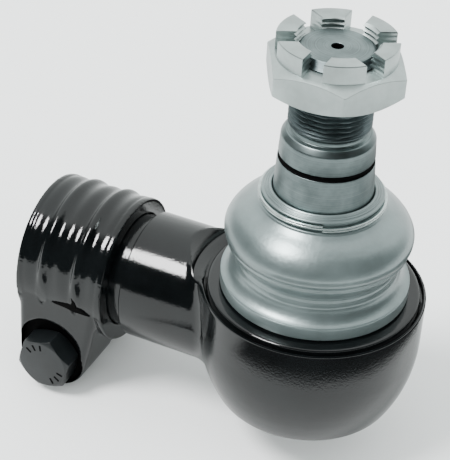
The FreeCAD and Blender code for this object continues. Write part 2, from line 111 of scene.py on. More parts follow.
class TierodFinishes(bpy.types.PropertyGroup):
    paint: FloatVectorProperty(
        name="Paint", description="Gloss black paint", subtype="COLOR", default=(0.0018, 0.0023, 0.0025)
    )
    bolt: FloatVectorProperty(
        name="Bolt", description="Blackened bolt", subtype="COLOR", default=(0.004, 0.005, 0.0055)
    )
    zinc: FloatVectorProperty(
        name="Zinc", description="Bright zinc plating", subtype="COLOR", default=(0.44, 0.5, 0.49)
    )
    steel: FloatVectorProperty(
        name="Steel", description="Turned bare steel", subtype="COLOR", default=(0.17, 0.21, 0.21)
    )
    thread: FloatVectorProperty(
        name="Thread", description="Rolled thread, darker than turned steel", subtype="COLOR",
        default=(0.10, 0.125, 0.13),
    )
    boot: FloatVectorProperty(
        name="Boot", description="Silver-grey rubber", subtype="COLOR", default=(0.2, 0.25, 0.25)
    )
    seat: FloatVectorProperty(
        name="Seat", description="Moulded ball seats", subtype="COLOR", default=(0.7, 0.68, 0.6)
    )
    seal: FloatVectorProperty(
        name="Seal", description="Black rubber seal", subtype="COLOR", default=(0.01, 0.01, 0.011)
    )
    floor: FloatVectorProperty(
        name="Floor", description="Pale studio floor", subtype="COLOR", default=(0.86, 0.87, 0.87)
    )


class TierodStudio(bpy.types.PropertyGroup):
    camera_at: FloatVectorProperty(
        name="Camera place", description="Where the camera stands", subtype="TRANSLATION", unit="LENGTH", size=3,
        default=(0.1156, -0.3330, 0.2839),
    )
    camera_back: FloatVectorProperty(
        name="Camera back", description="From the aim toward the camera", subtype="DIRECTION", size=3,
        default=(0.3268, -0.7471, 0.5789),
    )
    camera_roll: FloatProperty(
        name="Camera roll", description="Turn of the picture about its middle", subtype="ANGLE",
        default=math.radians(3.167),
    )
    lens: FloatProperty(name="Lens", description="Focal length in mm on a 36 mm sensor", default=114.65)
    key_strength: FloatProperty(name="Key strength", description="Strength of the soft key light", default=5.0)
    key_from: FloatVectorProperty(
        name="Key direction", description="From the object toward the key light", subtype="DIRECTION", size=3,
        default=(-0.345, -0.416, 0.842),
    )
    key_spread: FloatProperty(
        name="Key spread", description="Width of the key light in the sky", subtype="ANGLE", default=math.radians(20)
    )
    dome: FloatProperty(name="Dome", description="Brightness of the even light all round", default=2.0)
    backdrop: FloatProperty(name="Backdrop", description="Brightness of the background to the camera", default=2.9)


def sizes():
    return bpy.context.scene.tierod_sizes


def finishes():
    return bpy.context.scene.tierod_finishes


# Outlines and meshes


def rounded(*corners):
    """Points of an open outline. Each corner is (r, z) or (r, z, rounding), in millimetres."""
    points = []
    last = len(corners) - 1
    for number, corner in enumerate(corners):
        here = Vector(corner[:2])
        if len(corner) == 2 or number in (0, last):
            points.append(here)
            continue
        before = Vector(corners[number - 1][:2]) - here
        after = Vector(corners[number + 1][:2]) - here
        reach = min(corner[2], 0.45 * before.length, 0.45 * after.length)
        start, end = here + before.normalized() * reach, here + after.normalized() * reach
        for step in range(5):
            t = step / 4
            points.append(start * (1 - t) ** 2 + here * 2 * t * (1 - t) + end * t**2)
    return points


def arc(centre_z, radius, start_deg, end_deg, steps):
    """Points of an arc about the axis point at centre_z, with angles above the equator."""
    angles = [math.radians(start_deg + (end_deg - start_deg) * k / steps) for k in range(steps + 1)]
    return [Vector((radius * math.cos(a), centre_z + radius * math.sin(a))) for a in angles]


def flowing(points, steps=6):
    """A smooth curve through the points."""
    ends = [points[0], *points, points[-1]]
    curve = []
    for k in range(1, len(ends) - 2):
        a, b, c, d = (Vector(p) for p in ends[k - 1 : k + 3])
        for step in range(steps):
            t = step / steps
            curve.append(
                0.5 * (2 * b + (c - a) * t + (2 * a - 5 * b + 4 * c - d) * t**2 + (3 * b - a - 3 * c + d) * t**3)
            )
    return [*curve, Vector(points[-1])]


def thread_rows(radius, start, end, pitch):
    """Closely spaced points up a cylinder, which the thread is cut into."""
    count = max(1, round(abs(end - start) / pitch * THREAD_ROWS))
    return [Vector((radius, start + (end - start) * k / count)) for k in range(count + 1)]


def shaded(mesh, sharp_deg=32):
    mesh.shade_smooth()
    mesh.set_sharp_from_angle(angle=math.radians(sharp_deg))
    return mesh


def shown(name, data):
    """An object at the origin for a mesh, lamp or camera, linked to the scene."""
    piece = bpy.data.objects.new(name, data)
    bpy.context.scene.collection.objects.link(piece)
    return piece


def finished(name, bm, material, place=None, sharp_deg=32):
    """Turns a bmesh, in millimetres, into an object at the origin with outward faces."""
    bmesh.ops.remove_doubles(bm, verts=bm.verts, dist=1e-5)
    bmesh.ops.recalc_face_normals(bm, faces=bm.faces)
    mesh = bpy.data.meshes.new(name)
    bm.to_mesh(mesh)
    bm.free()
    if place:
        mesh.transform(place)
    mesh.transform(Matrix.Scale(MM, 4))
    mesh.materials.append(material)
    return shown(name, shaded(mesh, sharp_deg))


def turned(bm, outline, columns=128, closed=True, span=FULL_TURN, start=0.0):
    """Sweeps an outline about Z. A point on the axis becomes a pole."""
    whole = abs(span - FULL_TURN) < 1e-6
    count = columns if whole else columns + 1
    angles = [start + span * k / columns for k in range(count)]
    rings = []
    for r, z in outline:
        if r < 1e-6:
            rings.append([bm.verts.new((0, 0, z))] * count)
        else:
            rings.append([bm.verts.new((r * math.cos(a), r * math.sin(a), z)) for a in angles])
    pairs = list(zip(rings, rings[1:])) + ([(rings[-1], rings[0])] if closed else [])
    for low, high in pairs:
        for k in range(columns):
            n = (k + 1) % count
            corners = list(dict.fromkeys((low[k], low[n], high[n], high[k])))
            if len(corners) > 2:
                bm.faces.new(corners)
    if not whole and closed:
        bm.faces.new([ring[0] for ring in rings])
        bm.faces.new([ring[-1] for ring in reversed(rings)])


# Geometry node trees


def new_tree(name, inputs):
    """A geometry tree with a geometry input and output, and named number inputs."""
    tree = bpy.data.node_groups.new(name, "GeometryNodeTree")
    tree.interface.new_socket("Geometry", in_out="INPUT", socket_type="NodeSocketGeometry")
    for label, kind, default in inputs:
        socket = tree.interface.new_socket(label, in_out="INPUT", socket_type=kind)
        if default is not None:
            socket.default_value = default
    tree.interface.new_socket("Geometry", in_out="OUTPUT", socket_type="NodeSocketGeometry")
    return tree, tree.nodes.new("NodeGroupInput"), tree.nodes.new("NodeGroupOutput")


def maths(tree, operation, a, b=None, c=None):
    node = tree.nodes.new("ShaderNodeMath")
    node.operation = operation
    for socket, value in zip(node.inputs, (a, b, c)):
        if value is None:
            continue
        if isinstance(value, (int, float)):
            socket.default_value = value
        else:
            tree.links.new(value, socket)
    return node.outputs[0]


def parts_of(tree, vector):
    """The x, y and z of a vector."""
    split = tree.nodes.new("ShaderNodeSeparateXYZ")
    tree.links.new(vector, split.inputs[0])
    return split.outputs


def from_axis(tree, x, y):
    """Distance from the Z axis."""
    squares = maths(tree, "ADD", maths(tree, "MULTIPLY", x, x), maths(tree, "MULTIPLY", y, y))
    return maths(tree, "SQRT", squares)


def close_tree(tree, source, given, out):
    """Ends a tree in real geometry with its material."""
    real = tree.nodes.new("GeometryNodeRealizeInstances")
    paint = tree.nodes.new("GeometryNodeSetMaterial")
    tree.links.new(source, real.inputs[0])
    tree.links.new(real.outputs[0], paint.inputs["Geometry"])
    tree.links.new(given.outputs["Material"], paint.inputs["Material"])
    tree.links.new(paint.outputs[0], out.inputs[0])
    return tree


def thread_tree():
    """Cuts a helical groove, about Z, into the points that lie on one radius between two heights."""
    tree, given, out = new_tree(
        "Cut thread",
        [
            ("Radius", "NodeSocketFloat", 0.012),
            ("Pitch", "NodeSocketFloat", 0.0015),
            ("Depth", "NodeSocketFloat", 0.0008),
            ("Start", "NodeSocketFloat", 0.0),
            ("End", "NodeSocketFloat", 0.02),
            ("Run-out", "NodeSocketFloat", 0.001),
            ("Material", "NodeSocketMaterial", None),
        ],
    )
    ins = given.outputs
    crest_share, steepness, same_radius = 0.12, 1.25, 0.00004
    x, y, z = parts_of(tree, tree.nodes.new("GeometryNodeInputPosition").outputs[0])
    radius = from_axis(tree, x, y)
    turn = maths(tree, "DIVIDE", maths(tree, "ARCTAN2", y, x), FULL_TURN)
    rise = maths(tree, "FRACT", maths(tree, "SUBTRACT", maths(tree, "DIVIDE", z, ins["Pitch"]), turn))
    wave = maths(tree, "ABSOLUTE", maths(tree, "SUBTRACT", maths(tree, "MULTIPLY", rise, 2.0), 1.0))
    groove = maths(tree, "MULTIPLY", maths(tree, "SUBTRACT", wave, crest_share), steepness)
    groove = maths(tree, "MINIMUM", maths(tree, "MAXIMUM", groove, 0.0), 1.0)
    lead_in = maths(tree, "DIVIDE", maths(tree, "SUBTRACT", z, ins["Start"]), ins["Run-out"])
    lead_out = maths(tree, "DIVIDE", maths(tree, "SUBTRACT", ins["End"], z), ins["Run-out"])
    fade = maths(tree, "MAXIMUM", maths(tree, "MINIMUM", maths(tree, "MINIMUM", lead_in, lead_out), 1.0), 0.0)
    on_wall = maths(tree, "COMPARE", radius, ins["Radius"], same_radius)
    cut = maths(tree, "MULTIPLY", maths(tree, "MULTIPLY", groove, fade), ins["Depth"])
    cut = maths(tree, "MULTIPLY", maths(tree, "MULTIPLY", cut, on_wall), -1.0)
    share = maths(tree, "DIVIDE", cut, radius)
    join = tree.nodes.new("ShaderNodeCombineXYZ")
    tree.links.new(maths(tree, "MULTIPLY", x, share), join.inputs[0])
    tree.links.new(maths(tree, "MULTIPLY", y, share), join.inputs[1])
    move = tree.nodes.new("GeometryNodeSetPosition")
    tree.links.new(ins["Geometry"], move.inputs["Geometry"])
    tree.links.new(join.outputs[0], move.inputs["Offset"])
    return close_tree(tree, move.outputs[0], given, out)


def ring_of_copies_tree():
    """Repeats the geometry about Z, evenly spaced from a first angle."""
    tree, given, out = new_tree(
        "Ring of copies",
        [
            ("Count", "NodeSocketInt", 6),
            ("First angle", "NodeSocketFloat", 0.0),
            ("Material", "NodeSocketMaterial", None),
        ],
    )
    ins = given.outputs
    points = tree.nodes.new("GeometryNodePoints")
    tree.links.new(ins["Count"], points.inputs["Count"])
    index = tree.nodes.new("GeometryNodeInputIndex")
    angle = maths(tree, "MULTIPLY", maths(tree, "DIVIDE", index.outputs[0], ins["Count"]), FULL_TURN)
    angle = maths(tree, "ADD", angle, ins["First angle"])
    turn = tree.nodes.new("ShaderNodeCombineXYZ")
    tree.links.new(angle, turn.inputs[2])
    copies = tree.nodes.new("GeometryNodeInstanceOnPoints")
    tree.links.new(points.outputs[0], copies.inputs["Points"])
    tree.links.new(ins["Geometry"], copies.inputs["Instance"])
    tree.links.new(turn.outputs[0], copies.inputs["Rotation"])
    return close_tree(tree, copies.outputs[0], given, out)


def coil_tree():
    """A flat-sided wire wound about Z, from a spiral and a square section."""
    tree, given, out = new_tree(
        "Coil ring",
        [
            ("Turns", "NodeSocketFloat", 2.0),
            ("Radius", "NodeSocketFloat", 0.018),
            ("Rise", "NodeSocketFloat", 0.0013),
            ("Wire width", "NodeSocketFloat", 0.0012),
            ("Wire height", "NodeSocketFloat", 0.0012),
            ("Material", "NodeSocketMaterial", None),
        ],
    )
    ins = given.outputs
    spiral = tree.nodes.new("GeometryNodeCurveSpiral")
    spiral.inputs["Resolution"].default_value = 96
    tree.links.new(ins["Turns"], spiral.inputs["Rotations"])
    tree.links.new(ins["Radius"], spiral.inputs["Start Radius"])
    tree.links.new(ins["Radius"], spiral.inputs["End Radius"])
    tree.links.new(maths(tree, "MULTIPLY", ins["Rise"], ins["Turns"]), spiral.inputs["Height"])
    upright = tree.nodes.new("GeometryNodeSetCurveNormal")
    upright.mode = "Z_UP"
    tree.links.new(spiral.outputs[0], upright.inputs["Curve"])
    section = tree.nodes.new("GeometryNodeCurvePrimitiveQuadrilateral")
    tree.links.new(ins["Wire width"], section.inputs["Width"])
    tree.links.new(ins["Wire height"], section.inputs["Height"])
    soft = tree.nodes.new("GeometryNodeFilletCurve")
    soft.mode = "POLY"
    soft.inputs["Count"].default_value = 3
    tree.links.new(section.outputs[0], soft.inputs["Curve"])
    tree.links.new(maths(tree, "MULTIPLY", ins["Wire height"], 0.32), soft.inputs["Radius"])
    sweep = tree.nodes.new("GeometryNodeCurveToMesh")
    sweep.inputs["Fill Caps"].default_value = True
    tree.links.new(upright.outputs[0], sweep.inputs["Curve"])
    tree.links.new(soft.outputs[0], sweep.inputs["Profile Curve"])
    return close_tree(tree, sweep.outputs[0], given, out)


def settled(piece):
    """The piece's mesh as its modifiers leave it, with the modifiers taken away."""
    bpy.context.view_layer.update()
    mesh = bpy.data.meshes.new_from_object(piece.evaluated_get(bpy.context.evaluated_depsgraph_get()))
    piece.modifiers.clear()
    return mesh


def grown(piece, tree, sharp_deg=32, **values):
    """Runs a tree on a piece and keeps the result as a plain mesh."""
    modifier = piece.modifiers.new(tree.name, "NODES")
    modifier.node_group = tree
    values["Material"] = piece.data.materials[0]
    for item in tree.interface.items_tree:
        label = item.name.replace(" ", "_").replace("-", "_")
        if item.in_out == "INPUT" and label in values:
            modifier[item.identifier] = values[label]
    piece.data = shaded(settled(piece), sharp_deg)
    return piece


def placed(piece, matrix):
    """Moves a piece's mesh, and leaves its object at the origin."""
    piece.data.transform(matrix)
    piece.data.update()
    return piece


def stands_for(piece, body, slot, *nodes):
    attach(piece, body)
    if nodes:
        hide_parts(*nodes)
    return piece


def smooth_copy(node, material):
    """A merged, smoothly shaded copy of a CAD node."""
    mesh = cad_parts[node].data.copy()
    bm = bmesh.new()
    bm.from_mesh(mesh)
    bmesh.ops.remove_doubles(bm, verts=bm.verts, dist=1e-7)
    bm.to_mesh(mesh)
    bm.free()
    mesh.materials.clear()
    mesh.materials.append(material)
    return shown(f"{node}_surface", shaded(mesh, 28))


def even_normals(piece):
    """Lets the large faces of a piece set its shading, so long cylinders shade as cylinders."""
    weigh = piece.modifiers.new("Even normals", "WEIGHTED_NORMAL")
    weigh.keep_sharp = True
    weigh.weight = 90
    piece.data = settled(piece)
    return piece


def softened(node, material, voxel, passes):
    """A copy of a CAD node with its edges rounded as a casting's are."""
    piece = smooth_copy(node, material)
    grid = piece.modifiers.new("Even mesh", "REMESH")
    grid.mode = "VOXEL"
    grid.voxel_size = voxel
    relax = piece.modifiers.new("Relax", "SMOOTH")
    relax.iterations = passes
    mesh = settled(piece)
    mesh.materials.clear()
    mesh.materials.append(material)
    piece.data = mesh
    mesh.shade_smooth()
    return piece


# Shader groups and materials


def new_shader_group(name, inputs, outputs):
    group = bpy.data.node_groups.new(name, "ShaderNodeTree")
    for label, default in inputs:
        socket = group.interface.new_socket(label, in_out="INPUT", socket_type="NodeSocketFloat")
        socket.default_value = default
    for label, kind in outputs:
        group.interface.new_socket(label, in_out="OUTPUT", socket_type=kind)
    return group, group.nodes.new("NodeGroupInput"), group.nodes.new("NodeGroupOutput")


def noise_of(tree, vector, scale, detail=3.0, rough=0.5):
    node = tree.nodes.new("ShaderNodeTexNoise")
    node.inputs["Detail"].default_value = detail
    node.inputs["Roughness"].default_value = rough
    tree.links.new(vector, node.inputs["Vector"])
    if isinstance(scale, (int, float)):
        node.inputs["Scale"].default_value = scale
    else:
        tree.links.new(scale, node.inputs["Scale"])
    return node.outputs[0]


def spread(tree, value, low, high, to_low, to_high):
    node = tree.nodes.new("ShaderNodeMapRange")
    for label, number in (("From Min", low), ("From Max", high), ("To Min", to_low), ("To Max", to_high)):
        node.inputs[label].default_value = number
    tree.links.new(value, node.inputs["Value"])
    return node.outputs[0]


def surface_grain_group():
    """Fine bumps over slow swells, and a roughness that wanders: cast, painted and moulded skins."""
    group, given, out = new_shader_group(
        "Surface grain",
        [("Grain scale", 900.0), ("Swell scale", 90.0), ("Swell share", 0.5), ("Roughness", 0.2), ("Wander", 0.1)],
        [("Height", "NodeSocketFloat"), ("Roughness", "NodeSocketFloat"), ("Patches", "NodeSocketFloat")],
    )
    place = group.nodes.new("ShaderNodeTexCoord").outputs["Object"]
    fine = noise_of(group, place, given.outputs["Grain scale"])
    swell = noise_of(group, place, given.outputs["Swell scale"], 2.0)
    height = maths(group, "MULTIPLY_ADD", swell, given.outputs["Swell share"], fine)
    patches = noise_of(group, place, 60.0, 4.0, 0.6)
    shift = maths(group, "MULTIPLY", maths(group, "SUBTRACT", patches, 0.5), given.outputs["Wander"])
    group.links.new(height, out.inputs["Height"])
    group.links.new(maths(group, "ADD", shift, given.outputs["Roughness"]), out.inputs["Roughness"])
    group.links.new(patches, out.inputs["Patches"])
    return group


def turning_marks_group():
    """Fine rings left by a lathe about Z, with slow streaks between them."""
    group, given, out = new_shader_group(
        "Turning marks",
        [("Rings per metre", 2500.0), ("Streaks", 0.5)],
        [("Height", "NodeSocketFloat"), ("Tint", "NodeSocketFloat")],
    )
    place = group.nodes.new("ShaderNodeTexCoord").outputs["Object"]
    x, y, z = parts_of(group, place)
    radius = from_axis(group, x, y)
    along = maths(group, "SUBTRACT", z, radius)
    line = group.nodes.new("ShaderNodeCombineXYZ")
    group.links.new(maths(group, "MULTIPLY", along, given.outputs["Rings per metre"]), line.inputs[2])
    rings = noise_of(group, line.outputs[0], 1.0, 2.0, 0.7)
    slow = noise_of(group, place, 140.0, 3.0, 0.6)
    blend = maths(group, "MULTIPLY_ADD", maths(group, "SUBTRACT", slow, 0.5), given.outputs["Streaks"], rings)
    group.links.new(rings, out.inputs["Height"])
    group.links.new(blend, out.inputs["Tint"])
    return group


def use_group(tree, name, **values):
    node = tree.nodes.new("ShaderNodeGroup")
    node.node_tree = bpy.data.node_groups[name]
    for label, value in values.items():
        node.inputs[label.replace("_", " ")].default_value = value
    return node


def new_material(name, **settings):
    """A material, its tree and its Principled shader with plain settings."""
    material = bpy.data.materials.new(name)
    material.use_nodes = True
    shader = material.node_tree.nodes["Principled BSDF"]
    for label, value in settings.items():
        socket = shader.inputs[label.replace("_", " ")]
        socket.default_value = (*value, 1.0) if socket.type == "RGBA" else value
    return material, material.node_tree, shader


def bumped(tree, shader, height, distance):
    bump = tree.nodes.new("ShaderNodeBump")
    bump.inputs["Distance"].default_value = distance
    tree.links.new(height, bump.inputs["Height"])
    tree.links.new(bump.outputs[0], shader.inputs["Normal"])


def toned(tree, shader, share, dark, light):
    """Base colour from dark to light as the share goes from 0 to 1."""
    tone = tree.nodes.new("ShaderNodeMix")
    tone.data_type = "RGBA"
    tone.inputs["A"].default_value = (*dark, 1)
    tone.inputs["B"].default_value = (*light, 1)
    tree.links.new(share, tone.inputs["Factor"])
    tree.links.new(tone.outputs["Result"], shader.inputs["Base Color"])


def tinted(tree, shader, mask, dark, light):
    """Base colour from dark to light over the middle of a noise mask."""
    toned(tree, shader, spread(tree, mask, 0.35, 0.65, 0.0, 1.0), dark, light)


def scaled(colour, factor):
    return tuple(channel * factor for channel in colour)


def skinned(name, colour, shades, depth, grain, **settings):
    """A material whose tone, roughness and fine bumps come from the surface grain."""
    material, tree, shader = new_material(name, **settings)
    skin = use_group(tree, "Surface grain", **grain)
    tinted(tree, shader, skin.outputs["Patches"], *(scaled(colour, shade) for shade in shades))
    tree.links.new(skin.outputs["Roughness"], shader.inputs["Roughness"])
    bumped(tree, shader, skin.outputs["Height"], depth)
    return material


def turned_steel(name, colour, rough, ring_depth=0.00001):
    material, tree, shader = new_material(name, Metallic=1.0)
    marks = use_group(tree, "Turning marks", Streaks=0.8)
    grain = use_group(tree, "Surface grain", Roughness=rough, Wander=0.22)
    tinted(tree, shader, marks.outputs["Tint"], scaled(colour, 0.72), scaled(colour, 1.18))
    tree.links.new(grain.outputs["Roughness"], shader.inputs["Roughness"])
    bumped(tree, shader, marks.outputs["Height"], ring_depth)
    return material


def moulded(name, colour, rough, **settings):
    return skinned(name, colour, (0.88, 1.06), 0.00002, dict(Roughness=rough), **settings)


MATERIALS = {}
TREES = {}


def make_finishes():
    surface_grain_group()
    turning_marks_group()
    colours = finishes()
    MATERIALS.update(
        paint=skinned(
            "gloss_black_paint", colours.paint, (0.7, 1.6), 0.00003,
            dict(Grain_scale=1500.0, Swell_scale=160.0, Swell_share=1.2, Roughness=0.09), Specular_IOR_Level=0.5,
        ),
        bolt=skinned(
            "blackened_bolt", colours.bolt, (0.6, 1.7), 0.00003,
            dict(Grain_scale=2600.0, Swell_scale=300.0, Swell_share=0.6, Roughness=0.3), Specular_IOR_Level=0.5,
        ),
        zinc=skinned(
            "bright_zinc", colours.zinc, (0.76, 1.12), 0.000018,
            dict(Grain_scale=1800.0, Swell_scale=220.0, Roughness=0.34, Wander=0.16), Metallic=1.0,
        ),
        steel=turned_steel("turned_steel", colours.steel, 0.36),
        thread=turned_steel("rolled_thread", colours.thread, 0.42),
        ring=turned_steel("ring_steel", scaled(colours.zinc, 1.4), 0.2, 0.000001),
        faced=turned_steel("faced_steel", scaled(colours.steel, 1.2), 0.42),
        spring=turned_steel("spring_steel", colours.steel, 0.4),
        boot=skinned(
            "boot_rubber", colours.boot, (0.85, 1.12), 0.00005,
            dict(Grain_scale=700.0, Swell_scale=45.0, Swell_share=1.4, Roughness=0.36, Wander=0.14),
            Metallic=0.8, Coat_Weight=0.7, Coat_Roughness=0.25,
        ),
        seat=moulded("seat_plastic", colours.seat, 0.45),
        seal=moulded("seal_rubber", colours.seal, 0.5),
        # A dull near-black that paints shade into the stud's groove and centre hole, the clamp's pockets and onto the
        # raised arrow; the bolt's grade dashes use it too.
        recess=moulded("shaded_recess", scaled(colours.seal, 0.08), 0.7, Specular_IOR_Level=0.05),
    )
    TREES.update(thread=thread_tree(), copies=ring_of_copies_tree(), coil=coil_tree())


# Pieces, in millimetres


STUD_TOP = 97.3
THREAD_START = 74.0
THREAD_END = 95.4
GROOVE_LOW, GROOVE_HIGH, GROOVE_OVER_R = 62.02, 63.7, 12.0
CENTRE_HOLE_R = 1.5
CENTRE_HOLE_LOW = 90.0
PIN_HOLE_Z = 89.5
PIN_HOLE_R = 2.5
HEX_TOP = 94.7
NUT_BOTTOM = 85.2
CROWN_TOP = 100.1
NUT_CORNER = math.radians(-1.6)
NUT_FLATS = 36.0
NUT_FACE_R = 17.1
CROWN_R = 16.9
SLOT_WIDTH = 6.0
SOCKET_THREAD_R = 15.06
SOCKET_LOW, SOCKET_HIGH = -91.6, -61.0
BOLT_X, BOLT_Z = -79.5, -27.3
BOLT_FLATS = 17.0
BOLT_FACE_R = 8.3
BOLT_CREST_R = 5.98
BOLT_THREAD_START = -6.0
ARROW_FLOOR_Y = 22.9


def hexagon_r(angle, flats):
    """Distance to a softened hexagon's side at an angle from a corner."""
    off = abs((angle + math.pi / 6) % (math.pi / 3) - math.pi / 6)
    from_middle = math.pi / 6 - off
    flat = flats / 2 / math.cos(from_middle)
    corner_wear, softness = 0.1, 0.012
    return flat - corner_wear * math.exp(-((off / softness) ** 2))


def hexagon_angles(corner):
    """Angles all round, closer together beside the corners."""
    steps = (0, 0.5, 1.0, 2.0, 5.0, 10.0, 16.0, 23.0, 30.0, 37.0, 44.0, 50.0, 55.0, 58.0, 59.0, 59.5)
    return [corner + math.radians(60 * side + step) for side in range(6) for step in steps]


def hexagon_body(bm, flats, face_r, bottom, top, bore, corner=0.0):
    """A hexagon chamfered at both faces. bore is an outline that runs up the hole, or empty for a solid head."""
    angles = hexagon_angles(corner)
    slope = math.tan(math.radians(30))
    rim, ease, blunt, least_drop = 0.15, 0.03, 0.05, 0.02

    def drop(angle):
        return max(least_drop, (hexagon_r(angle - corner, flats) - face_r) * slope)

    def ring(radius_at, height_at):
        return [
            bm.verts.new((radius_at(a) * math.cos(a), radius_at(a) * math.sin(a), height_at(a))) for a in angles
        ]

    def side(angle):
        return hexagon_r(angle - corner, flats)

    rings = [
        ring(lambda a: face_r - rim, lambda a: bottom),
        ring(lambda a: face_r, lambda a: bottom + ease),
        ring(lambda a: side(a) - blunt, lambda a: bottom + drop(a) - ease),
        ring(side, lambda a: bottom + drop(a) + 2 * ease),
        ring(side, lambda a: top - drop(a) - 2 * ease),
        ring(lambda a: side(a) - blunt, lambda a: top - drop(a) + ease),
        ring(lambda a: face_r, lambda a: top - ease),
        ring(lambda a: face_r - rim, lambda a: top),
    ]
    for r, z in reversed(bore):
        rings.append(ring(lambda a, r=r: r, lambda a, z=z: z))
    count = len(angles)
    pairs = list(zip(rings, rings[1:])) + ([(rings[-1], rings[0])] if bore else [])
    for low, high in pairs:
        for k in range(count):
            n = (k + 1) % count
            bm.faces.new((low[k], low[n], high[n], high[k]))
    if not bore:
        bm.faces.new(list(reversed(rings[0])))
        bm.faces.new(rings[-1])


class TIEROD_OT_stud(bpy.types.Operator):
    """Ball stud: ball, neck, grooved taper, undercut, rolled thread and drilled end"""

    bl_idname = "tierod.stud"
    bl_label = "Ball Stud"

    def execute(self, context):
        size = sizes()
        crest = size.stud_thread_r / MM
        pitch = size.thread_pitch / MM
        lower = [
            Vector((0, -16.12)),
            Vector((7.6, -16.12)),
            *arc(0, 18.0, -63.0, 50.2, 28),
            *flowing([(11.5, 14.2), (11.5, 19.0), (12.0, 27.0), (13.4, 36.0), (15.2, 41.6)], 5),
            *rounded(
                (15.2, 41.6), (15.23, 42.0, 0.3), (13.98, 62.0, 0.15), (13.3, 62.25, 0.2), (13.2, 63.45, 0.2),
                (13.87, 63.75, 0.15), (13.5, 69.5, 0.4), (12.25, 71.2, 0.3), (11.0, 71.6, 0.3), (10.9, 72.9, 0.4),
                (crest, THREAD_START),
            )[1:],
        ]
        end = rounded(
            (crest, THREAD_END), (crest - 1.85, STUD_TOP, 0.3), (CENTRE_HOLE_R + 0.4, STUD_TOP, 0.2),
            (CENTRE_HOLE_R, STUD_TOP - 0.4, 0.1), (CENTRE_HOLE_R, STUD_TOP - 4.0), (0, STUD_TOP - 5.5),
        )
        rows = thread_rows(crest, THREAD_START, THREAD_END, pitch)
        bm = bmesh.new()
        turned(bm, [*lower[:-1], *rows, *end[1:]], columns=120, closed=False)
        piece = finished("ball_stud_turned", bm, MATERIALS["steel"])
        grown(
            piece, TREES["thread"], Radius=size.stud_thread_r, Pitch=size.thread_pitch, Depth=size.thread_depth,
            Start=THREAD_START * MM, End=(STUD_TOP + 1) * MM, Run_out=0.0012,
        )
        drill_pin_hole(piece)
        for finish in ("thread", "recess", "faced"):
            piece.data.materials.append(MATERIALS[finish])
        threaded, shade_painted, faced = 1, 2, 3
        # Painted shade: faces in the groove below the taper and in the drilled centre hole get the dull black recess
        # finish.
        for face in piece.data.polygons:
            radius, height = face.center.xy.length / MM, face.center.z / MM
            in_groove = GROOVE_LOW < height < GROOVE_HIGH and radius > GROOVE_OVER_R
            in_centre_hole = height > CENTRE_HOLE_LOW and radius < CENTRE_HOLE_R + 0.2
            if in_groove or in_centre_hole:
                face.material_index = shade_painted
            elif height > STUD_TOP - 0.1:
                face.material_index = faced
            elif height > THREAD_START - 0.2:
                face.material_index = threaded
        stands_for(piece, "stud", "steel", "ball_stud")
        return {"FINISHED"}


def drill_pin_hole(stud):
    """Cuts the split pin's cross hole through the thread, in line with two slots of the nut."""
    bm = bmesh.new()
    reach = 15
    turned(bm, [(0, -reach), (PIN_HOLE_R, -reach), (PIN_HOLE_R, reach), (0, reach)], columns=32, closed=False)
    turn = Matrix.Rotation(NUT_CORNER + math.pi / 6, 4, "Z") @ Matrix.Rotation(math.pi / 2, 4, "Y")
    drill = finished("pin_drill", bm, MATERIALS["steel"], Matrix.Translation((0, 0, PIN_HOLE_Z)) @ turn)
    cut = stud.modifiers.new("Pin hole", "BOOLEAN")
    cut.object = drill
    cut.operation = "DIFFERENCE"
    cut.solver = "EXACT"
    stud.data = shaded(settled(stud))
    bpy.data.objects.remove(drill)


def lug_section(inset, bore_r, steps=8):
    """A crown lug seen from above, centred on +X, as one loop of points."""
    half = SLOT_WIDTH / 2 + inset
    outer_r, inner_r = CROWN_R - inset, bore_r + inset
    outer_half = math.pi / 6 - math.asin(half / outer_r)
    inner_half = math.pi / 6 - math.asin(half / inner_r)
    outer = [(outer_r, outer_half * (2 * k / steps - 1)) for k in range(steps + 1)]
    inner = [(inner_r, inner_half * (1 - 2 * k / steps)) for k in range(steps + 1)]
    return [(r * math.cos(a), r * math.sin(a)) for r, a in outer + inner]


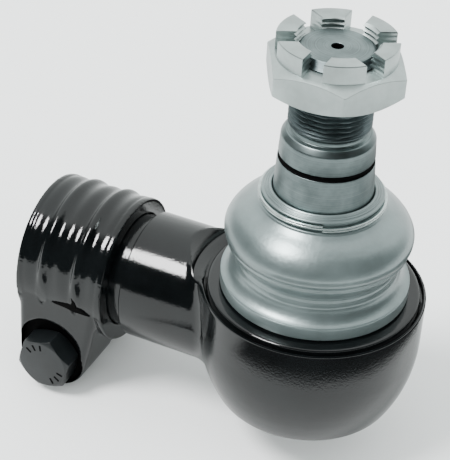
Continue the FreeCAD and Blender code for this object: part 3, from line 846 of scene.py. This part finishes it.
class TIEROD_OT_castle_nut(bpy.types.Operator):
    """Castle nut: chamfered hexagon, ring of lugs and the inner thread"""

    bl_idname = "tierod.castle_nut"
    bl_label = "Castle Nut"

    def execute(self, context):
        size = sizes()
        root = size.nut_thread_r / MM
        pitch = size.thread_pitch / MM
        chamfer = 0.9
        bore = [(root + chamfer, NUT_BOTTOM), *thread_rows(root, NUT_BOTTOM + chamfer, HEX_TOP, pitch)]
        bm = bmesh.new()
        hexagon_body(bm, NUT_FLATS, NUT_FACE_R, NUT_BOTTOM, HEX_TOP, bore, NUT_CORNER)
        body = finished("castle_nut_hexagon", bm, MATERIALS["zinc"], sharp_deg=24)
        cut_values = dict(
            Radius=size.nut_thread_r, Pitch=size.thread_pitch, Depth=size.thread_depth,
            Start=(NUT_BOTTOM + 0.4) * MM, End=(CROWN_TOP + 0.3) * MM, Run_out=0.0006,
        )
        grown(body, TREES["thread"], 24, **cut_values)
        stands_for(body, "nut", "zinc", "castle_nut")
        lugs = self.lugs(root, pitch)
        grown(lugs, TREES["copies"], Count=size.lug_count, First_angle=NUT_CORNER)
        grown(lugs, TREES["thread"], **cut_values)
        stands_for(lugs, "nut", "zinc")
        return {"FINISHED"}

    def lugs(self, root, pitch):
        bm = bmesh.new()
        heights = [z for _, z in thread_rows(root, HEX_TOP - 0.3, CROWN_TOP - 0.5, pitch)]
        levels = [(z, 0.0) for z in heights] + [(CROWN_TOP - 0.22, 0.03), (CROWN_TOP - 0.07, 0.12), (CROWN_TOP, 0.32)]
        rings = [[bm.verts.new((x, y, z)) for x, y in lug_section(inset, root)] for z, inset in levels]
        count = len(rings[0])
        for low, high in zip(rings, rings[1:]):
            for k in range(count):
                bm.faces.new((low[k], low[(k + 1) % count], high[(k + 1) % count], high[k]))
        half = count // 2
        for ring in (rings[0], rings[-1]):
            for k in range(half - 1):
                bm.faces.new((ring[k], ring[k + 1], ring[count - 2 - k], ring[count - 1 - k]))
        return finished("castle_nut_lugs", bm, MATERIALS["zinc"])


class TIEROD_OT_boot(bpy.types.Operator):
    """Dust boot: ridged collar, dome, rounded fold, soft creases and flange"""

    bl_idname = "tierod.boot"
    bl_label = "Dust Boot"

    def execute(self, context):
        collar = rounded(
            (14.9, 50.4), (14.72, 51.3, 0.3), (14.9, 52.1, 0.3), (15.4, 52.2, 0.2), (15.75, 51.85, 0.15),
            (16.1, 52.05, 0.2), (16.45, 51.6, 0.15), (16.8, 51.8, 0.2), (17.15, 51.3, 0.15), (17.6, 51.4, 0.25),
            (18.0, 50.95, 0.2), (17.4, 50.75, 0.1), (17.4, 48.25, 0.1), (18.5, 47.95, 0.2), (18.7, 47.4),
        )
        dome = flowing(
            [(18.7, 47.4), (20.2, 46.2), (22.6, 44.6), (24.9, 42.7), (26.7, 40.5), (27.7, 38.5), (27.9, 37.2),
             (27.75, 36.0), (27.3, 35.1), (27.1, 34.6), (27.15, 34.0), (26.9, 33.2), (26.3, 32.3), (25.5, 31.3),
             (24.7, 30.4)]
        )
        skirt = flowing(
            [(24.7, 30.4), (24.2, 29.5), (24.15, 28.6), (24.35, 27.8), (24.3, 26.9), (24.35, 26.0), (24.7, 25.2),
             (25.0, 24.5), (25.4, 23.8), (26.1, 22.9), (27.0, 22.1), (27.9, 21.6)]
        )
        edge = rounded((27.9, 21.6), (28.25, 21.6, 0.1), (28.4, 21.3, 0.15), (28.4, 17.6, 0.3), (26.9, 17.5, 0.2),
                       (26.9, 13.9, 0.3), (23.7, 13.9, 0.3), (23.7, 20.5))
        inner = flowing(
            [(23.7, 20.5), (23.5, 23.5), (23.0, 26.5), (22.8, 29.5), (23.6, 31.6), (25.0, 33.4), (25.9, 35.2),
             (26.2, 37.2), (25.9, 38.9), (24.9, 40.8), (22.9, 42.9), (20.4, 44.8), (17.8, 46.0), (16.2, 47.0),
             (15.9, 48.0), (15.9, 49.8)]
        )
        bm = bmesh.new()
        turned(bm, [*collar, *dome[1:], *skirt[1:], *edge[1:], *inner[1:]], columns=144)
        piece = finished("dust_boot_rubber", bm, MATERIALS["boot"], sharp_deg=75)
        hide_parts("dust_boot")
        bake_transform(piece)
        return {"FINISHED"}


class TIEROD_OT_boot_rings(bpy.types.Operator):
    """Boot rings: the wound ring round the collar and the closing ring in the housing"""

    bl_idname = "tierod.boot_rings"
    bl_label = "Boot Rings"

    def execute(self, context):
        size = sizes()
        low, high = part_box("boot_upper_ring")
        rise = ((high.z - low.z) - size.ring_wire) / size.ring_turns
        coil = shown("boot_upper_ring_coil", bpy.data.meshes.new("boot_upper_ring_coil"))
        coil.data.materials.append(MATERIALS["ring"])
        grown(
            coil, TREES["coil"], 40, Turns=size.ring_turns, Radius=high.x - size.ring_wire / 2, Rise=rise,
            Wire_width=size.ring_wire, Wire_height=min(size.ring_wire, rise * 0.96),
        )
        wire_end_deg = -68.0
        front = Matrix.Rotation(math.radians(wire_end_deg), 4, "Z")
        mirror = Matrix.Scale(-1, 4, (0, 1, 0))
        placed(coil, Matrix.Translation((0, 0, low.z + size.ring_wire / 2)) @ front @ mirror)
        coil.data.flip_normals()
        stands_for(coil, "boot_head", "ring_steel", "boot_upper_ring")
        bm = bmesh.new()
        turned(bm, rounded(
            (27.3, 14.0), (27.3, 13.6, 0.1), (32.0, 13.6, 0.1), (32.0, 16.6, 0.5), (31.2, 16.95, 0.4),
            (27.3, 17.0, 0.1), (27.3, 14.0),
        )[:-1], columns=160)
        ring = finished("boot_lower_ring_surface", bm, MATERIALS["paint"], sharp_deg=40)
        stands_for(ring, "housing", "paint", "boot_lower_ring")
        return {"FINISHED"}


class TIEROD_OT_housing(bpy.types.Operator):
    """Housing: painted forging and the thread inside its slotted socket"""

    bl_idname = "tierod.housing"
    bl_label = "Housing"

    def execute(self, context):
        size = sizes()
        piece = even_normals(smooth_copy("housing", MATERIALS["paint"]))
        stands_for(piece, "housing", "paint", "housing")
        length = SOCKET_HIGH - SOCKET_LOW
        slot_half_width, bore_r, clearance = 2.0, 14.0, 0.01
        half_slot = math.asin(slot_half_width / bore_r) + clearance
        rows = thread_rows(SOCKET_THREAD_R, 0, length, size.thread_pitch / MM)
        wall_r = SOCKET_THREAD_R + 0.35
        bm = bmesh.new()
        outline = [*rows, (wall_r, length), (wall_r, 0)]
        turned(bm, outline, columns=96, span=FULL_TURN - 2 * half_slot, start=half_slot)
        sleeve = finished("socket_thread", bm, MATERIALS["thread"])
        grown(
            sleeve, TREES["thread"], Radius=SOCKET_THREAD_R * MM, Pitch=size.thread_pitch,
            Depth=size.socket_thread_depth, Start=0.0, End=(length + 1) * MM, Run_out=0.0008,
        )
        placed(sleeve, Matrix.Translation((SOCKET_LOW * MM, 0, 0)) @ Matrix.Rotation(math.pi / 2, 4, "Y"))
        stands_for(sleeve, "housing", "steel")
        return {"FINISHED"}


def bars(outlines, floor, height, material, name, place):
    """Low raised marks: each outline, in millimetres, becomes a little block whose top is drawn in."""
    bm = bmesh.new()
    for outline in outlines:
        middle = sum((Vector(point) for point in outline), Vector((0, 0))) / len(outline)
        levels = ((floor, 1.0), (floor + 0.6 * height, 1.0), (floor + height, 0.8))
        rings = []
        for level, share in levels:
            points = [middle + (Vector(point) - middle) * share for point in outline]
            rings.append([bm.verts.new((point.x, point.y, level)) for point in points])
        count = len(outline)
        for low, high in zip(rings, rings[1:]):
            for k in range(count):
                bm.faces.new((low[k], low[(k + 1) % count], high[(k + 1) % count], high[k]))
        bm.faces.new(list(reversed(rings[0])))
        bm.faces.new(rings[-1])
    return finished(name, bm, material, place)


class TIEROD_OT_clamp(bpy.types.Operator):
    """Clamp: painted band with its two ears and a forged arrow"""

    bl_idname = "tierod.clamp"
    bl_label = "Clamp"

    def execute(self, context):
        piece = softened("clamp_collar", MATERIALS["paint"], 0.00042, 5)
        self.crown_the_lands(piece.data)
        # Painted shade: the bolt's pockets get a dull black finish in place of their shadow.
        self.paint_shade_in_pockets(piece.data)
        stands_for(piece, "clamp", "paint", "clamp_collar")
        shaft = [(-78.1, -4.0), (-73.4, -4.3), (-70.0, -5.0), (-64.4, -4.9), (-67.6, -3.2), (-71.2, -2.6)]
        fin = [(-71.4, -3.2), (-69.0, -3.2), (-69.4, -1.2), (-70.9, 0.7), (-70.6, -1.4)]
        upright = Matrix.Rotation(math.pi / 2, 4, "X")
        # The raised arrow takes the dull black recess finish: painted shade for its shadow and its darker reflection
        # on the band.
        arrow = bars([shaft, fin], ARROW_FLOOR_Y, 0.7, MATERIALS["recess"], "clamp_arrow", upright)
        stands_for(arrow, "clamp", "paint")
        return {"FINISHED"}

    def crown_the_lands(self, mesh):
        """Rounds the band between its beads, and lets the beads die out toward the ears."""
        middle_x, step, band_r, hollow = -0.0759, 0.0059, 0.0234, 0.0004
        ear_face_y, least_r, fade_from, fade_over = 0.0231, 0.0227, -0.003, 0.010
        for vertex in mesh.vertices:
            x, y, z = vertex.co
            radius = math.hypot(y, z)
            if radius < least_r or (z < 0 and abs(y) < ear_face_y):
                continue
            share = min(1.0, max(0.0, (z - fade_from) / fade_over))
            share = share * share * (3 - 2 * share)
            dip = hollow * (1 - math.cos(FULL_TURN * (x - middle_x) / step)) / 2
            bead = max(0.0, radius - band_r)
            wanted = radius - bead * (1 - share) - dip * share
            vertex.co = (x, y * wanted / radius, z * wanted / radius)

    def paint_shade_in_pockets(self, mesh):
        """Paints shade into the bolt's pockets: a dull black finish on their faces stands in for the shadow there."""
        floor_y, mouth_y, pocket_r, pocket_rise = 19.0, 22.4, 11.6, 3.2
        mesh.materials.append(MATERIALS["recess"])
        for face in mesh.polygons:
            x, y, z = face.center / MM
            nearest_z = min(max(z, BOLT_Z), BOLT_Z + pocket_rise)
            if floor_y < abs(y) < mouth_y and math.hypot(x - BOLT_X, z - nearest_z) < pocket_r:
                face.material_index = 1


class TIEROD_OT_clamp_bolt(bpy.types.Operator):
    """Clamp bolt and nut: hexagon head with plain grade dashes, threaded shank and nut"""

    bl_idname = "tierod.clamp_bolt"
    bl_label = "Clamp Bolt"

    def execute(self, context):
        size = sizes()
        low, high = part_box("clamp_bolt")
        nut_low, nut_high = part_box("clamp_nut")
        middle = (low + high) / 2 / MM
        head_y, tip_y = low.y / MM, high.y / MM
        seat, far = nut_low.y / MM, nut_high.y / MM
        pitch = size.bolt_pitch / MM
        axis = Matrix.Translation((middle.x, 0, middle.z)) @ Matrix.Rotation(math.pi / 2, 4, "X")
        bm = bmesh.new()
        hexagon_body(bm, BOLT_FLATS, BOLT_FACE_R, seat, -head_y, [], math.radians(15))
        head = finished("clamp_bolt_head", bm, MATERIALS["bolt"], axis, sharp_deg=24)
        stands_for(head, "bolt", "bolt_black", "clamp_bolt")
        dashes = []
        start_r, end_r, half_width = 5.4, 7.6, 0.32
        for angle in (math.radians(middle_deg + step) for middle_deg in (118, -38) for step in (-22, 0, 22)):
            along = Vector((math.cos(angle), math.sin(angle)))
            across = Vector((-along.y, along.x)) * half_width
            start, end = along * start_r, along * end_r
            dashes.append([start - across, end - across, end + across, start + across])
        marks = bars(dashes, -head_y - 0.1, 0.22, MATERIALS["recess"], "clamp_bolt_dashes", axis)
        stands_for(marks, "bolt", "bolt_black")
        bm = bmesh.new()
        rows = thread_rows(BOLT_CREST_R, 1 - tip_y, BOLT_THREAD_START, pitch)
        shank = [(0, -tip_y), (5.0, -tip_y), *rows, (BOLT_CREST_R, seat), (0, seat)]
        turned(bm, shank, columns=64, closed=False)
        shaft = finished("clamp_bolt_shaft", bm, MATERIALS["bolt"])
        grown(
            shaft, TREES["thread"], Radius=BOLT_CREST_R * MM, Pitch=size.bolt_pitch, Depth=0.0009,
            Start=-(tip_y + 1) * MM, End=BOLT_THREAD_START * MM, Run_out=0.001,
        )
        placed(shaft, Matrix.Translation((middle.x * MM, 0, middle.z * MM)) @ Matrix.Rotation(math.pi / 2, 4, "X"))
        stands_for(shaft, "bolt", "bolt_black")
        bm = bmesh.new()
        mouth_r, root, chamfer = 6.8, 6.06, 0.75
        bore = [(mouth_r, -far), *thread_rows(root, chamfer - far, -seat - chamfer, pitch), (mouth_r, -seat)]
        hexagon_body(bm, BOLT_FLATS, BOLT_FACE_R, -far, -seat, bore)
        nut = finished("clamp_nut_hexagon", bm, MATERIALS["bolt"], axis, sharp_deg=24)
        stands_for(nut, "clamp", "bolt_black", "clamp_nut")
        return {"FINISHED"}


class TIEROD_OT_inner_parts(bpy.types.Operator):
    """Finishes for the seats, spring, cover and other parts inside the housing"""

    bl_idname = "tierod.inner_parts"
    bl_label = "Inner Parts"

    def execute(self, context):
        wanted = {
            "upper_ball_seat": "seat", "lower_ball_seat": "seat", "pressure_spring": "spring",
            "cover_plate": "paint", "cover_seal": "seal", "cover_retaining_ring": "spring",
            "boot_support_ring": "spring",
        }
        for node, finish in wanted.items():
            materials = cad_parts[node].data.materials
            if materials:
                materials[0] = MATERIALS[finish]
            else:
                materials.append(MATERIALS[finish])
        return {"FINISHED"}


def key_light(studio):
    """A wide soft light, like a large softbox far away."""
    data = bpy.data.lights.new("key", "SUN")
    data.energy = studio.key_strength
    data.angle = studio.key_spread
    lamp = shown("key", data)
    lamp.rotation_mode = "QUATERNION"
    lamp.rotation_quaternion = Vector(studio.key_from).to_track_quat("Z", "Y")


def studio_world(studio):
    """Even light on every surface, pale to the camera, and in reflections bright above and behind, dark in front."""
    world = bpy.data.worlds.new("studio")
    bpy.context.scene.world = world
    world.use_nodes = True
    tree = world.node_tree
    tree.nodes.clear()
    x, y, z = parts_of(tree, tree.nodes.new("ShaderNodeTexCoord").outputs["Generated"])
    lean = maths(tree, "ADD", maths(tree, "MULTIPLY", y, 0.8), maths(tree, "MULTIPLY", z, 0.9))
    lean = maths(tree, "MULTIPLY_ADD", x, -0.2, lean)
    mirrored = spread(tree, lean, 0.5, 0.72, 0.02, 1.7)
    rays = tree.nodes.new("ShaderNodeLightPath").outputs
    seen = maths(tree, "MULTIPLY", rays["Is Camera Ray"], studio.backdrop)
    in_gloss = maths(tree, "MULTIPLY", mirrored, rays["Is Glossy Ray"])
    plain = maths(tree, "SUBTRACT", maths(tree, "SUBTRACT", 1.0, rays["Is Camera Ray"]), rays["Is Glossy Ray"])
    strength = maths(tree, "ADD", maths(tree, "ADD", seen, in_gloss), maths(tree, "MULTIPLY", plain, studio.dome))
    glow = tree.nodes.new("ShaderNodeBackground")
    glow.inputs["Color"].default_value = (0.95, 1.0, 0.99, 1)
    tree.links.new(strength, glow.inputs["Strength"])
    out = tree.nodes.new("ShaderNodeOutputWorld")
    tree.links.new(glow.outputs[0], out.inputs[0])


class TIEROD_OT_stage(bpy.types.Operator):
    """Pale floor, soft lights and the camera"""

    bl_idname = "tierod.stage"
    bl_label = "Stage"

    def execute(self, context):
        studio = context.scene.tierod_studio
        lowest, gap, half_width = CAD_BOX[0][2], 0.0002, 3000
        bm = bmesh.new()
        bmesh.ops.create_grid(bm, x_segments=1, y_segments=1, size=half_width)
        floor = finished("floor", bm, self.floor_finish())
        placed(floor, Matrix.Translation((0, 0, lowest - gap)))
        key_light(studio)
        studio_world(studio)
        self.camera(context, studio)
        return {"FINISHED"}

    def floor_finish(self):
        """Pale to the camera. Reflections also see a dark band round the object, in front and on the right."""
        material, tree, shader = new_material("pale_floor", Roughness=0.95, Specular_IOR_Level=0.1)
        x, y, _ = parts_of(tree, tree.nodes.new("ShaderNodeTexCoord").outputs["Object"])
        reach = from_axis(tree, x, y)
        inside = spread(tree, reach, 0.087, 0.092, 1.0, 0.0)
        outside = spread(tree, reach, 0.195, 0.205, 0.0, 1.0)
        to_left = spread(tree, x, -0.072, -0.056, 1.0, 0.0)
        clear = maths(tree, "MAXIMUM", maths(tree, "MAXIMUM", inside, outside), to_left)
        near = spread(tree, clear, 0.0, 1.0, 0.03, 0.66)
        glossy = tree.nodes.new("ShaderNodeLightPath").outputs["Is Glossy Ray"]
        dim = maths(tree, "MULTIPLY_ADD", maths(tree, "SUBTRACT", near, 1.0), glossy, 1.0)
        toned(tree, shader, dim, (0, 0, 0), finishes().floor)
        return material

    def camera(self, context, studio):
        data = bpy.data.cameras.new("camera")
        data.lens = studio.lens
        data.sensor_width = 36.0
        data.sensor_fit = "AUTO"
        camera = shown("camera", data)
        back = Vector(studio.camera_back).normalized()
        right = Vector((0, 0, 1)).cross(back).normalized()
        up = back.cross(right)
        c, s = math.cos(studio.camera_roll), math.sin(studio.camera_roll)
        rolled = Matrix((right * c + up * s, up * c - right * s, back)).transposed()
        camera.matrix_world = Matrix.Translation(studio.camera_at) @ rolled.to_4x4()
        context.scene.camera = camera


class TIEROD_PT_panel(bpy.types.Panel):
    """Buttons for the pieces of the tie rod end"""

    bl_idname = "TIEROD_PT_panel"
    bl_label = "Tie Rod End"
    bl_space_type = "VIEW_3D"
    bl_region_type = "UI"
    bl_category = "Tie Rod End"

    def draw(self, context):
        for step in STEPS:
            self.layout.operator(step.bl_idname)
        for group in (sizes(), finishes(), context.scene.tierod_studio):
            for prop in group.__annotations__:
                self.layout.prop(group, prop)


STEPS = (
    TIEROD_OT_stage,
    TIEROD_OT_stud,
    TIEROD_OT_castle_nut,
    TIEROD_OT_boot,
    TIEROD_OT_boot_rings,
    TIEROD_OT_housing,
    TIEROD_OT_clamp,
    TIEROD_OT_clamp_bolt,
    TIEROD_OT_inner_parts,
)
GROUPS = {"tierod_sizes": TierodSizes, "tierod_finishes": TierodFinishes, "tierod_studio": TierodStudio}


def register():
    for cls in (*GROUPS.values(), *STEPS, TIEROD_PT_panel):
        bpy.utils.register_class(cls)
    for name, group in GROUPS.items():
        setattr(bpy.types.Scene, name, PointerProperty(type=group))


def unregister():
    for name in GROUPS:
        delattr(bpy.types.Scene, name)
    for cls in (TIEROD_PT_panel, *reversed(STEPS), *reversed(GROUPS.values())):
        bpy.utils.unregister_class(cls)


def main():
    register()
    make_finishes()
    for step in STEPS:
        family, name = step.bl_idname.split(".")
        getattr(getattr(bpy.ops, family), name)()


if __name__ == "__main__":
    main()
